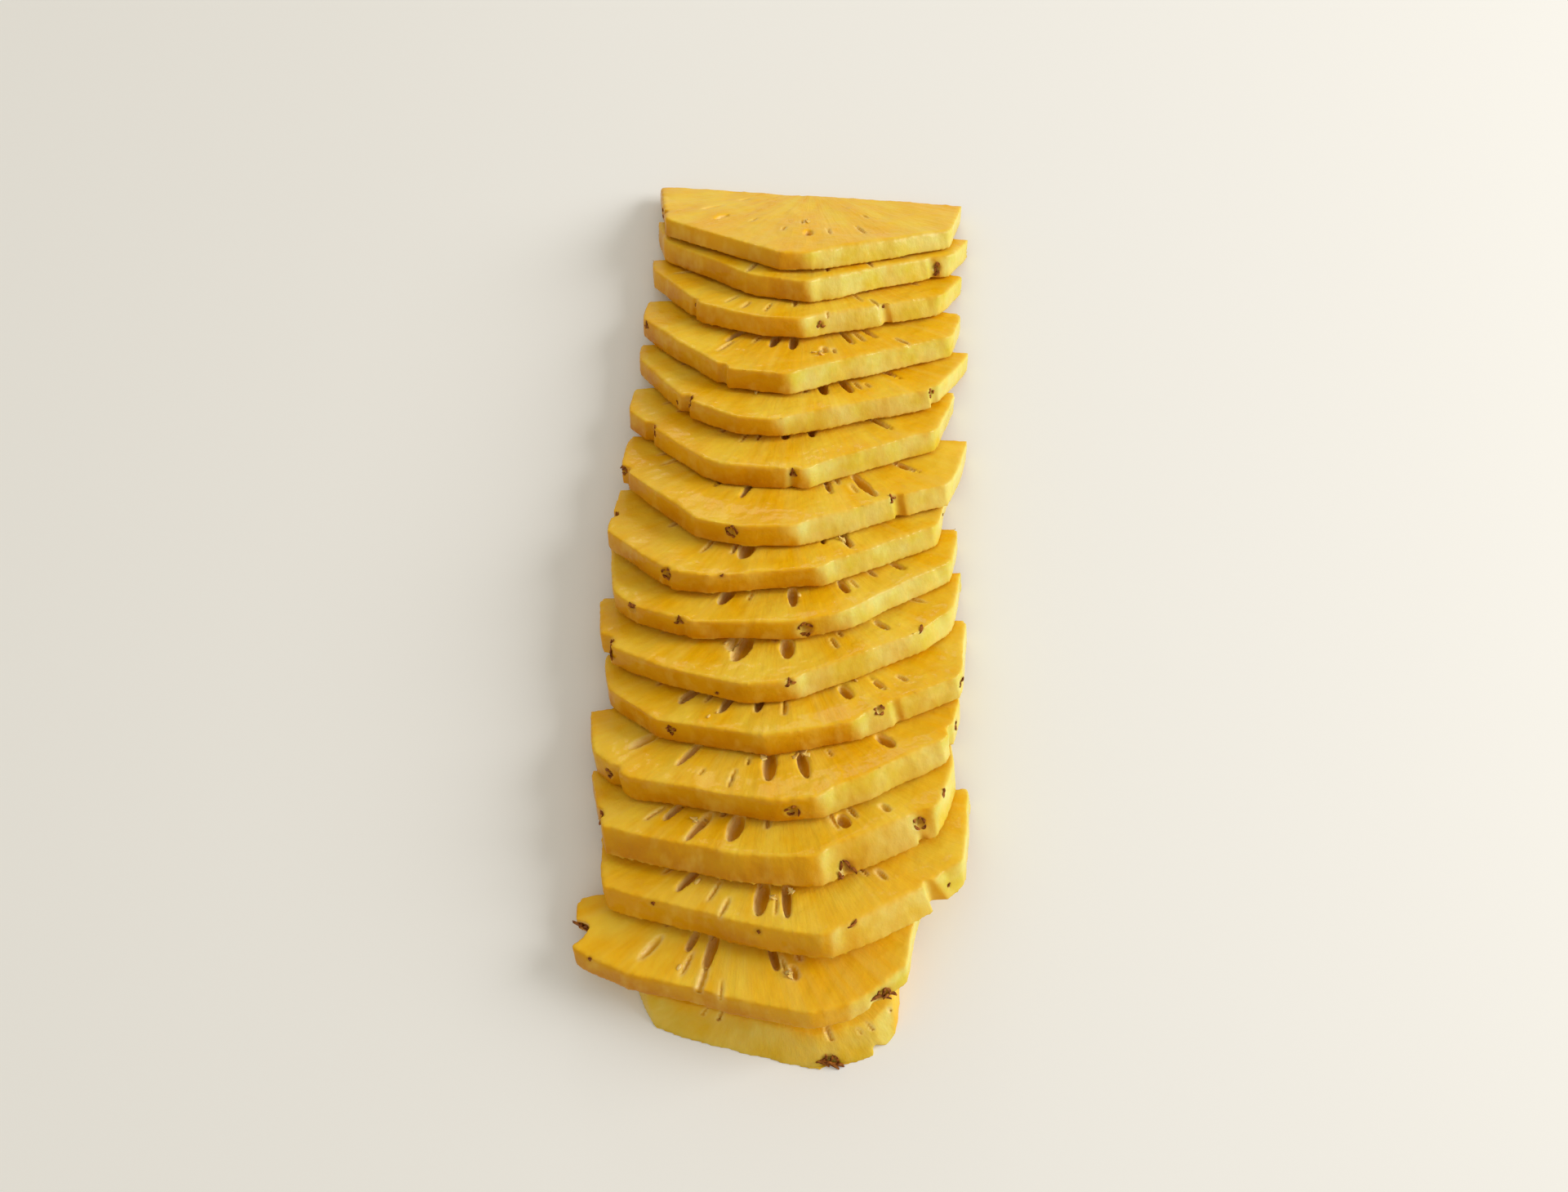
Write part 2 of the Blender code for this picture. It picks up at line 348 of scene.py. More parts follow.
# The Displace modifiers: name, texture and strength in mm.
RIPPLES = (("waves", KNIFE_WAVES, 1.1), ("lumps", FLESH_LUMPS, 0.22))


def apply_all(piece):
    """Apply the modifiers of the active piece from the first to the last."""
    for title in [modifier.name for modifier in piece.modifiers]:
        bpy.ops.object.modifier_apply(modifier=title)


def mark_rim(piece, axes, group_name, lower_share):
    """Put the points near the peeled rim into a vertex group, the upper ones in full."""
    group = piece.vertex_groups.new(name=group_name)
    points, _ = read_points(piece)
    across, ahead, height = own_place(points, axes)
    rim = np.interp(bearing(across, ahead), DEGREES, rim_profile(across, ahead))
    weights = fade(np.hypot(across, ahead) - rim, *RIM_BAND)
    weights *= np.maximum(fade(height / axes.thick, *UPPER_HALF), lower_share)
    for index in np.flatnonzero(weights > LEAST_WEIGHT):
        group.add([int(index)], float(weights[index]), "REPLACE")


def soft_copy(node, axes, name, lower_share):
    """A merged copy of a solid, rebuilt in small faces, worn round and rippled."""
    piece = bpy.data.objects.new(name, node.data.copy())
    bpy.context.scene.collection.objects.link(piece)
    piece.data.materials.clear()
    only_selected(piece)
    bpy.ops.object.mode_set(mode="EDIT")
    bpy.ops.mesh.select_all(action="SELECT")
    bpy.ops.mesh.remove_doubles(threshold=SAME_CORNER)
    bpy.ops.object.mode_set(mode="OBJECT")
    rebuild = piece.modifiers.new("rebuild", "REMESH")
    rebuild.mode = "VOXEL"
    rebuild.voxel_size = VOXEL
    apply_all(piece)
    mark_rim(piece, axes, "near_rim", lower_share)
    for title, group, iterations in WEAR:
        wear = piece.modifiers.new(title, "SMOOTH")
        wear.factor = 0.5
        wear.iterations = iterations
        wear.vertex_group = group
    for title, texture, strength in RIPPLES:
        ripple = piece.modifiers.new(title, "DISPLACE")
        ripple.texture = texture
        ripple.texture_coords = "LOCAL"
        ripple.strength = strength * MM
        ripple.mid_level = PULL_INWARD
    apply_all(piece)
    piece.vertex_groups.clear()
    return piece


# %% [markdown]
# Seed slits, furrows and the ends of the slots
#
# Seed chambers run out from the core like spokes. The wide open ones are already in the
# solids as ovals, and here the outer ends of some are drawn out to a point. Between them
# the flesh is torn into a few longer furrows, and there are fine, shallow slits, a few
# millimetres long. Each of these is pressed into the top with the same smooth hollow
# profile, and its depth is remembered for the colour, which paints shade into it.

# %% Fine slits
SLIT_SKIN = 1.6 * MM               # only points this near to the top are pressed down
# Painted shade: a slit's depth darkens it in the colour, by this share of a slot's.
SLIT_SHADE = 0.75                   # how deep a slit looks beside an open slot
SLITS_TO = 66.0                    # degrees to either side that have fine slits
SLIT_CHANCE = 0.6


def press_slit(points, axes, depth_map, direction, distance, length, width, depth):
    """Press one slit into the top, along a line out from the core."""
    across, ahead, height = own_place(points, axes)
    angle = math.radians(direction)
    along = across * math.sin(angle) + (ahead + CORE) * math.cos(angle) - distance
    beside = across * math.cos(angle) - (ahead + CORE) * math.sin(angle)
    taper = np.clip(1 - (2 * along / length) ** 2, 0, 1)
    hollow = np.clip(1 - (2 * beside / (width * np.sqrt(taper + 1e-6))) ** 2, 0, 1) * taper
    hollow[height < axes.thick - SLIT_SKIN] = 0
    np.maximum(depth_map, hollow * SLIT_SHADE, out=depth_map)
    return points - (hollow * depth)[:, None] * axes.up


# Torn furrows: slice, direction from the core, distance, length, width and depth in mm.
FURROWS = ((2, -20.5, 36, 14, 1.8, 1.0), (2, 14.5, 36, 4.5, 2.4, 1.3), (1, 19.8, 29.5, 5, 1.2, 0.9),
           (2, -46, 34, 9, 2.2, 1.0), (4, -33, 36, 8, 2.4, 1.2), (5, -58, 40.5, 10, 3.0, 1.4),
           (6, -42, 35, 8, 2.0, 1.1), (7, -24, 34, 7, 3.0, 1.6), (16, -52, 36, 9, 1.4, 0.7),
           (4, 37, 40.8, 4, 1.8, 1.0), (3, 34, 38.1, 4.5, 1.5, 0.9), (10, -59, 40.5, 7, 1.2, 0.6))
# Pointed outer ends of open slots: slice, direction from the core, distance and width in mm.
SLOT_ENDS = ((3, -13, 37.6, 2.4), (3, -3, 38.6, 1.7), (4, -20, 38.0, 2.6), (4, -34, 41.2, 1.4),
             (5, -5, 39.6, 2.6), (5, 8, 40.2, 2.0), (5, -39, 39.6, 1.6), (6, -27, 39.2, 1.7),
             (6, -14, 36.8, 2.0), (7, -19, 39.6, 3.0), (7, 0, 37.8, 2.6), (8, 2, 38.8, 1.7),
             (9, -12, 41.2, 2.8), (9, 28, 40.2, 1.6), (10, 31, 41.2, 1.8), (13, 13, 35.2, 1.8))
SLOT_END_LENGTH, SLOT_END_DEPTH = 4.4, 1.3


def press_fine_slits(points, axes, depth_map, draw):
    """Press fine slits at uneven spaces round the core."""
    direction = -SLITS_TO
    while direction < SLITS_TO:
        distance = draw.uniform(23, 41) * MM
        length = draw.uniform(3, 9) * MM
        width = draw.uniform(0.6, 1.2) * MM
        if draw.random() < SLIT_CHANCE:
            depth = draw.uniform(0.5, 1.1) * MM
            points = press_slit(points, axes, depth_map, direction, distance, length, width, depth)
        direction += draw.uniform(4.0, 12.0)
    return points


# %% [markdown]
# Eye pits
#
# Each eye of the fruit is a woody pocket. The peeling leaves the deepest ones behind as
# brown dents in the rim. Their places are given by slice, direction and height, because
# each dent sits on the rim wherever the rim is. The kind says which brown bits it holds.

# %% Eye places
class Eye(NamedTuple):
    """One eye: its slice's number, its direction in degrees, its height in mm and its kind."""
    slice: int
    direction: float
    height: float
    kind: str


EYES = [Eye(*row) for row in (
    (1, 19.4, 0.8, "cluster"),
    (2, -80, 2.4, "cluster"), (2, -66, 5.0, "speck"), (2, 40, 2.0, "cluster"),
    (3, -56, 5.6, "speck"), (3, 19, 6.2, "line"), (3, -15, 5.0, "stain"), (3, 54, 3.0, "speck"),
    (4, -70, 6.4, "cleft"), (4, 19, 1.9, "tent"), (4, 48, 4.6, "ring"), (4, 60, 7.0, "line"),
    (5, -64, 3.6, "cleft"), (5, 2, 3.6, "ring"), (5, 69, 3.8, "cleft"),
    (6, -84, 4.6, "speck"), (6, -45, 4.0, "ring_small"), (6, 32, 6.0, "ring_small"),
    (6, 62, 3.6, "line"),
    (7, -66, 4.6, "cluster"), (7, 0, 5.9, "fork"), (7, -25, 1.6, "speck"), (7, 55, 6.2, "line"),
    (8, -54, 4.6, "long"), (8, -37, 5.2, "fork"), (8, 6, 3.0, "ring_wide"),
    (9, -74, 5.2, "cleft"), (9, -36, 4.4, "ring"), (9, -18, 5.8, "stain"), (9, 73, 4.8, "speck"),
    (10, -72, 4.6, "cleft"), (10, -19.6, 4.2, "ring"), (10, 42, 5.8, "fork"),
    (11, 2.5, 4.8, "fork"), (11, -60, 5.2, "cleft"),
    (12, -42, 4.6, "cleft"), (12, -49, 2.4, "speck"), (12, 59, 4.2, "ring_small"),
    (13, -73, 5.0, "fork"),
    (14, 10.5, 3.2, "fork"), (14, -48, 4.0, "speck"), (14, 45, 5.0, "stain"),
    (15, 67, 3.4, "tall"),
    (16, -70, 2.6, "bars"),
)]
# Each kind's dent: its radius and its depth, in mm.
DENTS = {"ring": (2.0, 1.0), "ring_wide": (2.6, 1.2), "ring_small": (1.3, 0.7), "cleft": (1.6, 1.3),
         "cluster": (2.6, 0.9), "fork": (1.4, 0.6), "tent": (2.5, 0.7), "line": (1.0, 0.4),
         "long": (1.8, 0.8), "tall": (1.6, 0.9), "bars": (1.8, 0.6), "speck": (0.8, 0.4),
         "stain": (1.2, 0.2)}
# How much further out, in mm, a point must lie for each degree or mm that it is off.
DEGREE_OFF, HEIGHT_OFF = 1.8, 3.6
# A dent's edge, as shares of its radius: where it lies and how wide it is.
DENT_EDGE, EDGE_WIDTH = 0.72, 0.24
# How strongly wood stains the floor of a dent, and its edge.
FLOOR_STAIN, EDGE_STAIN = 0.5, 0.35


def rim_point(points, axes, direction, height):
    """The index of the outermost point in a direction and at a height."""
    across, ahead, up = own_place(points, axes)
    angle = np.degrees(np.arctan2(across, ahead))
    miss = np.abs(angle - direction) * DEGREE_OFF + np.abs(up / MM - height) * HEIGHT_OFF
    return int(np.argmax(np.hypot(across, ahead) / MM - miss))


def press_dent(points, normals, centre, radius, depth, wood_map):
    """Press a round dent with a worn lip, and stain its edge and floor."""
    away = points - points[centre]
    distance = np.sqrt((away ** 2).sum(axis=1)) / radius
    bowl = np.clip(1 - distance ** 2, 0, 1) ** 2
    edge = np.exp(-((distance - DENT_EDGE) / EDGE_WIDTH) ** 2)
    np.maximum(wood_map, np.maximum(bowl * FLOOR_STAIN, edge * EDGE_STAIN), out=wood_map)
    return points - (bowl * depth)[:, None] * normals[centre]


print("eyes:", len(EYES), "kinds:", sorted(set(eye.kind for eye in EYES)))

# %% [markdown]
# Maps for the colour
#
# A procedural material can read numbers that are stored on the mesh's points. Each flesh
# piece stores its grain, which is each point's place measured outward from the core,
# around it and up, and seven masks: how near the rim it is, how far the rim faces the
# main light on the right, where it is painted paler as painted light, how low in the
# slice, which paints shade towards the rim's foot, how deep in a seed slot, which paints
# shade with depth, how far up its silky walls, which are painted pale only where they face
# the main light, how near its lip, and how stained by wood. The lip is found by letting
# the slot mask spread over neighbouring points, as ink spreads in paper.

# %% Maps
def spread_mask(piece, mask, rounds):
    """Average a mask with its neighbours along the mesh's edges, several times."""
    edges = np.empty(len(piece.data.edges) * 2, dtype=np.int32)
    piece.data.edges.foreach_get("vertices", edges)
    a, b = edges.reshape(-1, 2).T
    count = np.bincount(a, minlength=len(mask)) + np.bincount(b, minlength=len(mask))
    for _ in range(rounds):
        total = np.bincount(a, mask[b], len(mask)) + np.bincount(b, mask[a], len(mask))
        mask = 0.5 * mask + 0.5 * total / np.maximum(count, 1)
    return mask


def store_map(piece, name, kind, values):
    """Store one number or one vector for each point."""
    layer = piece.data.attributes.new(name, kind, "POINT")
    field = "vector" if kind == "FLOAT_VECTOR" else "value"
    layer.data.foreach_set(field, np.ascontiguousarray(values, dtype=np.float32).ravel())


# Three exceptions, by slice: how much painted light lies on its whole rim and not only on
# the right side, painted as light that the floor throws up onto a front rim, how much of the
# rim's deep gold, partly painted shade, it shows, and how far right the painted light
# reaches, in mm.
LIT_WHOLE_RIM = {1: 0.45}
DEEP_RIM = {1: 0.3}
LIT_END = {1: 25.0}
NO_END = 99.0
LIT_END_FADE = 1.5
# The grain's length for one radian, and what sets it off from one slice to the next.
GRAIN_RADIUS = 36 * MM
GRAIN_SHIFT, GRAIN_LIFT = 37 * MM, 11 * MM
# Where each mask starts and where it is full.
RIM_TILT = (0.97, 0.80)                  # by how much the flesh looks up or down
RIM_INSIDE = (9 * MM, 5 * MM)            # by the distance in from the rim
# Painted light: the rim is painted paler where it looks right, toward the main light.
LIT_SIDE_FACING = (0.12, 0.57)               # by how much the flesh looks right
# Painted shade: the rim is painted darker towards its foot, by the share of the thickness.
LOW_SHADE_HEIGHT = (11 / 12, 1 / 12)           # by the share of the thickness
# Painted shade: slots and slits are painted darker with their depth.
SLOT_DEPTH = (0.75 * MM, 2.35 * MM)      # by the depth below the top
# Painted light: silk only on walls that look right, toward the main light.
SILK_LIT_FACING = (0.15, 0.55)               # by how much a slot's wall looks right
# A slot lies this far in from the top's rim, above the floor and ahead of the back cut.
SLOT_INSIDE, SLOT_ABOVE, SLOT_AHEAD = 2.0 * MM, 1.2 * MM, 2.0 * MM
TOP_BAND = 0.9 * MM                      # points this near to the top's height shape its rim
SLOT_EDGE = 0.25                         # up to here the slot mask counts as its upper edge
SLOT_SEEN = 0.1                          # from here on a slot has a lip
SILK_LOSS = 0.4                          # how much of the silk is lost at the slot's floor
LIP_GAIN = 2.0
# How often each mask is spread over its neighbours.
RIM_SPREAD, LIT_SPREAD, SILK_SPREAD, LIP_SPREAD = 3, 8, 1, 5


def store_maps(piece, axes, slit_map, wood_map, number):
    """Store the grain and the seven masks of one flesh piece."""
    points, normals = read_points(piece)
    across, ahead, height = own_place(points, axes)
    distance, direction = np.hypot(across, ahead), bearing(across, ahead)
    looks_right, looks_up = normals @ axes.right, normals @ axes.up

    outward = np.hypot(across, ahead + CORE) + number * GRAIN_SHIFT
    around = np.arctan2(across, ahead + CORE) * GRAIN_RADIUS
    grain = np.stack([outward, around, height + number * GRAIN_LIFT], axis=1)
    store_map(piece, "grain", "FLOAT_VECTOR", grain)

    inside = np.interp(direction, DEGREES, rim_profile(across, ahead)) - distance
    rim = fade(np.abs(looks_up), *RIM_TILT) * fade(inside, *RIM_INSIDE)
    # Painted light: the rim is painted pale where it faces the main light, and on slice 1's front
    # rim as floor bounce.
    pale = rim * np.maximum(fade(looks_right, *LIT_SIDE_FACING), LIT_WHOLE_RIM.get(number, 0.0))
    lit_side_end = LIT_END.get(number, NO_END)
    pale *= fade(across / MM, lit_side_end + LIT_END_FADE, lit_side_end)

    top = height > axes.thick - TOP_BAND
    top_rim = np.interp(direction, DEGREES, rim_profile(across[top], ahead[top]))
    # Painted shade: the slot mask darkens slots and slits with depth, and bounds silk and lip.
    slot = fade(axes.thick - height, *SLOT_DEPTH) * (top_rim - distance > SLOT_INSIDE)
    slot *= (height > SLOT_ABOVE) * (ahead > SLOT_AHEAD)
    slot = np.maximum(slot, slit_map)
    # Painted light on a real lining: silk only on slot walls that face the main light.
    silk = fade(slot, 0, SLOT_EDGE) * fade(looks_right, *SILK_LIT_FACING) * (1 - SILK_LOSS * slot)
    lip = spread_mask(piece, (slot > SLOT_SEEN).astype(float), LIP_SPREAD)

    masks = {
        # The rim mask: a deeper gold, partly the rim's own tone and partly painted shade.
        "rim": spread_mask(piece, rim * DEEP_RIM.get(number, 1.0), RIM_SPREAD),
        "pale": spread_mask(piece, pale, LIT_SPREAD),
        # Painted shade towards the rim's foot.
        "low": fade(height / axes.thick, *LOW_SHADE_HEIGHT),
        "slot": slot,
        "silk": spread_mask(piece, silk, SILK_SPREAD),
        "lip": np.clip(lip * LIP_GAIN, 0, 1) * (slot < SLOT_EDGE),
        "wood": wood_map,
    }
    for title, mask in masks.items():
        store_map(piece, title, "FLOAT", mask)


# %% [markdown]
# The flesh material
#
# Ripe flesh is translucent: light goes in, spreads and comes back warmer, which is what
# the Principled shader's subsurface does. Its colour isn't even. Broad cloudy patches run
# from golden to pale yellow, and fine fibres run out from the core, which a noise texture
# gives when it is stretched along the grain. The rim is a deeper gold, partly its own tone
# and partly painted shade, with more painted shade towards its lower edge. On its right
# side, which faces the main light, it is painted a paler, greener yellow as painted light.
# Slots and slits are painted a darker brown-gold with depth as painted shade, and their
# silky walls are painted pale only where they face the main light, painted light on a real
# lining. A wet coat lies over it all.

# %% Flesh material
# The two tones that the cloudy patches run between, for each part of the flesh.
TONES = {
    "face": ((0.83, 0.450, 0.004), (0.85, 0.575, 0.042)),
    # The rim's deeper gold: partly its own tone, partly painted shade on rims away from the light.
    "rim": ((0.69, 0.315, 0.001), (0.75, 0.400, 0.007)),
    # Painted shade: the rim's darker tone towards its foot.
    "shaded_low_rim": ((0.52, 0.188, 0.0002), (0.61, 0.262, 0.0006)),
    # Painted light: the pale tone of rims that face the main light.
    "pale": ((0.65, 0.565, 0.060), (0.71, 0.695, 0.230)),
}
# Painted shade on the painted light of the right rims, towards their foot.
LIT_RIM_LOW_SHADE = (0.70, 0.440, 0.012)
RIPE_PATCH = (0.82, 0.415, 0.003)
STRAND = (0.88, 0.63, 0.11)
FIBRE = (0.72, 0.36, 0.022)
LIP = (0.92, 0.74, 0.32)
# Painted shade: the brown-gold that slots and slits darken to with depth.
SLOT_SHADE = (0.66, 0.300, 0.003)
# The silky lining's pale tone, painted only where walls face the main light.
SLOT_SILK = (0.94, 0.75, 0.33)
WOOD_STAIN = (0.36, 0.165, 0.018)
# The wet surface: names of the shader's sockets and their values.
WET = {
    "Subsurface Weight": 0.22,
    "Subsurface Radius": (1.0, 0.55, 0.12),
    "Subsurface Scale": 2.5 * MM,
    "Specular IOR Level": 0.12,
    "Coat Weight": 0.20,
    "Coat Roughness": 0.09,
    "IOR": 1.34,
}


def flesh_material():
    """Wet, fibrous, translucent fruit flesh."""
    material = bpy.data.materials.new("wet_flesh")
    material.use_nodes = True
    tree = material.node_tree
    shader = tree.nodes["Principled BSDF"]

    def node(kind, **settings):
        made = tree.nodes.new(kind)
        for key, value in settings.items():
            setattr(made, key, value)
        return made

    def stored(name, output="Fac"):
        return node("ShaderNodeAttribute", attribute_name=name).outputs[output]

    def noise(vector, scale, detail=3.0):
        made = node("ShaderNodeTexNoise")
        made.inputs["Scale"].default_value = scale
        made.inputs["Detail"].default_value = detail
        made.inputs["Roughness"].default_value = 0.55
        tree.links.new(vector, made.inputs["Vector"])
        return made.outputs["Fac"]

    def stretched(scale):
        made = node("ShaderNodeMapping")
        made.inputs["Scale"].default_value = scale
        tree.links.new(grain, made.inputs["Vector"])
        return made.outputs["Vector"]

    def between(value, low, high, to_low=0.0, to_high=1.0):
        made = node("ShaderNodeMapRange")
        for socket, number in (("From Min", low), ("From Max", high),
                               ("To Min", to_low), ("To Max", to_high)):
            made.inputs[socket].default_value = number
        tree.links.new(value, made.inputs["Value"])
        return made.outputs["Result"]

    def calculate(operation, *values):
        made = node("ShaderNodeMath", operation=operation)
        for socket, value in zip(made.inputs, values):
            if isinstance(value, float):
                socket.default_value = value
            else:
                tree.links.new(value, socket)
        return made.outputs[0]

    def blend(share, low, high):
        made = node("ShaderNodeMix", data_type="RGBA")
        tree.links.new(share, made.inputs["Factor"])
        colour_sockets = [socket for socket in made.inputs if socket.type == "RGBA"]
        for value, socket in zip((low, high), colour_sockets):
            if isinstance(value, tuple):
                socket.default_value = (*value, 1.0)
            else:
                tree.links.new(value, socket)
        return next(socket for socket in made.outputs if socket.type == "RGBA")

    def veil(under, share, strength, tone):
        return blend(calculate("MULTIPLY", share, strength), under, tone)

    grain = stored("grain", "Vector")
    clouds = noise(stretched((0.5, 1.0, 1.0)), 110.0)
    ripeness = noise(stretched((0.7, 1.0, 1.0)), 42.0, detail=1.5)
    fibres = noise(stretched((0.10, 1.0, 0.6)), 950.0)
    strands = noise(stretched((0.06, 1.0, 0.5)), 320.0, detail=2.0)
    threads = noise(stretched((0.04, 1.0, 1.0)), 1300.0, detail=2.0)
    pores = noise(grain, 1300.0, detail=2.0)

    cloudy = between(clouds, 0.36, 0.64)
    face, rim, shaded_low_rim, pale = (blend(cloudy, *pair) for pair in TONES.values())
    # Painted shade: the rim darkens towards its foot, by the low mask.
    low = stored("low")
    # The rim's deeper gold is partly its own tone and partly painted shade.
    colour = blend(stored("rim"), face, blend(low, rim, shaded_low_rim))
    colour = veil(colour, between(ripeness, 0.50, 0.66), 0.55, RIPE_PATCH)
    # Painted light: rims that face the main light are painted pale, with painted shade towards
    # their foot.
    colour = blend(stored("pale"), colour, veil(pale, low, 0.4, LIT_RIM_LOW_SHADE))
    colour = veil(colour, between(strands, 0.50, 0.72), 0.28, STRAND)
    colour = veil(colour, between(fibres, 0.42, 0.70), 0.12, FIBRE)
    colour = veil(colour, stored("lip"), 0.45, LIP)
    # Painted shade: slots and slits darken with depth.
    colour = veil(colour, stored("slot"), 0.92, SLOT_SHADE)
    # Painted light on a real lining: pale silk only on walls that face the main light.
    silky = calculate("MULTIPLY", stored("silk"), between(threads, 0.20, 0.50))
    colour = veil(colour, silky, 0.85, SLOT_SILK)
    stain = calculate("MULTIPLY", stored("wood"), between(pores, 0.20, 0.55))
    colour = blend(stain, colour, WOOD_STAIN)
    tree.links.new(colour, shader.inputs["Base Color"])
    tree.links.new(between(clouds, 0.3, 0.7, 0.24, 0.46), shader.inputs["Roughness"])

    ridges = calculate("MULTIPLY_ADD", strands, 0.6, fibres)
    bump = node("ShaderNodeBump")
    bump.inputs["Strength"].default_value = 0.55
    bump.inputs["Distance"].default_value = 0.25 * MM
    tree.links.new(calculate("MULTIPLY_ADD", pores, 0.5, ridges), bump.inputs["Height"])
    tree.links.new(bump.outputs["Normal"], shader.inputs["Normal"])
    for socket, value in WET.items():
        shader.inputs[socket].default_value = value
    return material


FLESH = flesh_material()
print("flesh material nodes:", len(FLESH.node_tree.nodes))

# %% [markdown]
# Make the sixteen slices
#
# One loop makes every slice in the same order of steps: soft copy, round rim, fine slits,
# furrows and slot ends, eye dents, maps. Each slice draws its unevenness from its own
# numbered source, so that one slice can be changed and the others stay as they are.

# %% Slices
SLICE_SEEDS = 400    # each slice adds its own number
eye_seats = []
flesh_pieces = {}
for number, name in enumerate(NAMES, start=1):
    axes = axes_of[name]
    draw = random.Random(SLICE_SEEDS + number)
    lower_share = FLARED_WEAR if number in FLARED else LOWER_WEAR
    piece = soft_copy(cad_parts[name], axes, f"flesh_{number:02d}", lower_share)
    points, _ = read_points(piece)
    points = round_rim(points, axes, draw, 0.0 if number in FLARED else SLOPE)
    slit_map = np.zeros(len(points))
    points = press_fine_slits(points, axes, slit_map, draw)
    for furrow in (row for row in FURROWS if row[0] == number):
        sizes = (size * MM for size in furrow[2:])
        points = press_slit(points, axes, slit_map, furrow[1], *sizes)
    for _, direction, distance, width in (row for row in SLOT_ENDS if row[0] == number):
        sizes = (size * MM for size in (distance, SLOT_END_LENGTH, width, SLOT_END_DEPTH))
        points = press_slit(points, axes, slit_map, direction, *sizes)
    write_points(piece, points)
    points, normals = read_points(piece)
    wood_map = np.zeros(len(points))
    for eye in (eye for eye in EYES if eye.slice == number):
        centre = rim_point(points, axes, eye.direction, eye.height)
        radius, depth = (size * MM for size in DENTS[eye.kind])
        seat = points[centre].copy()
        points = press_dent(points, normals, centre, radius, depth, wood_map)
        eye_seats.append((eye, piece, seat, normals[centre].copy()))
    points[:, 2] = np.maximum(points[:, 2], 0)
    write_points(piece, points)
    store_maps(piece, axes, slit_map, wood_map, number)
    piece.data.materials.append(FLESH)
    only_selected(piece)
    bpy.ops.object.shade_smooth()
    flesh_pieces[name] = piece
    eye_count = sum(eye.slice == number for eye in EYES)
    print(piece.name, "faces", len(piece.data.polygons), "eyes", eye_count)

# %% [markdown]
# Woody bits
#
# What is left of an eye is a ring of thin brown scales, seen on edge, with loose ends.
# One scale is modelled from a cube: cut into short lengths, tapered to its ends and bent.
# Each eye then gets a few copies, laid round its dent or across it.

# %% One woody scale
def shape_bit(name, change):
    """A cube cut into small faces, with each of its points moved by a function."""
    bpy.ops.object.select_all(action="DESELECT")
    bpy.ops.mesh.primitive_cube_add(size=1)
    bit = bpy.context.object
    bit.name = name
    bpy.ops.object.mode_set(mode="EDIT")
    bpy.ops.mesh.subdivide(number_cuts=3)
    bpy.ops.object.mode_set(mode="OBJECT")
    for vertex in bit.data.vertices:
        vertex.co = change(vertex.co.copy())
    return bit


def scale_point(p):
    """Taper to both ends and bend in the middle, with one end higher than the other."""
    along = p.x * 2
    thin = 1 - 0.55 * along * along
    return Vector((p.x, p.y * thin + 0.45 * (along * along - 0.5), p.z * thin + 0.10 * along))


scale_bit = shape_bit("scale_pattern", scale_point)
print("scale faces:", len(scale_bit.data.polygons))

# %% [markdown]
# Laying the scales
#
# Each kind of eye is a short list of strokes: where a scale lies in its dent, across and
# up in mm, how it is turned, and its length. A ring is worked out with a loop instead.

# %% Strokes
STROKES = {
    "fork": ((0, 0.5, 75, 1.7), (-0.6, -0.4, 20, 1.4), (0.6, -0.3, -25, 1.4)),
    "cleft": ((0, 0, 80, 2.2), (-0.7, 0.3, 60, 1.8), (0.6, -0.2, 110, 1.9), (0.1, -0.9, 10, 1.4)),
    "cluster": ((-2.0, 0.9, 10, 3.0), (-1.6, -0.3, 150, 3.6), (-0.7, 0.6, 78, 3.2),
                (0.2, -0.7, 142, 4.4), (0.7, 0.9, 60, 3.0), (1.3, -0.9, 155, 3.8),
                (1.9, 0.3, 105, 2.6), (2.4, -1.3, 140, 2.4)),
    "tent": ((-1.05, 0.5, 66, 3.0), (-1.9, -1.4, 78, 2.2), (0.75, 0.7, 117, 3.2),
             (1.75, -1.0, 120, 2.6), (-1.5, -2.3, 20, 1.3)),
    "line": ((0, 0, 20, 3.0), (0.7, 0.4, 35, 1.4)),
    "long": ((0, 0, 15, 3.8), (0.4, 0.7, -5, 2.0), (-0.9, 0.6, 70, 1.3)),
    "tall": ((-0.3, 1.1, 70, 2.0), (0.4, 0.9, 115, 1.7), (-0.2, -0.5, 95, 2.0),
             (0.4, -1.3, 60, 1.8), (-0.4, -1.8, 20, 1.0)),
    "bars": ((0, 1.1, 5, 2.0), (0.2, -1.0, -5, 1.6), (0.9, 1.2, 80, 1.2)),
    "speck": ((0, 0, 40, 0.9), (0.2, 0.2, 120, 0.7)),
    "stain": ((0, 0, 30, 1.0),),
}
RINGS = {"ring": 1.35, "ring_wide": 1.8, "ring_small": 0.85}
EYE_SEEDS = 900      # each eye adds its place in the list
SCALE_LIFT = 0.16    # mm from the flesh to the middle of a scale


def ring_strokes(radius, draw):
    """Scales laid end to end round a ring of five uneven sides."""
    strokes = []
    for side in range(5):
        angle = math.radians(side * 72 + draw.uniform(-26, 26))
        reach = radius * draw.uniform(0.7, 1.2)
        turn_angle = math.degrees(angle) + 90 + draw.uniform(-34, 34)
        strokes.append((reach * math.cos(angle), reach * math.sin(angle), turn_angle,
                        radius * draw.uniform(0.7, 1.6)))
    return strokes


def add_bit(mesh, place):
    """Put a small bit in the scene, lifted where it would reach below the floor."""
    bit = bpy.data.objects.new("bit", mesh)
    bit.data.transform(place)
    lowest = min(vertex.co.z for vertex in bit.data.vertices)
    bit.data.transform(Matrix.Translation((0, 0, max(0.0, -lowest))))
    bpy.context.scene.collection.objects.link(bit)
    return bit


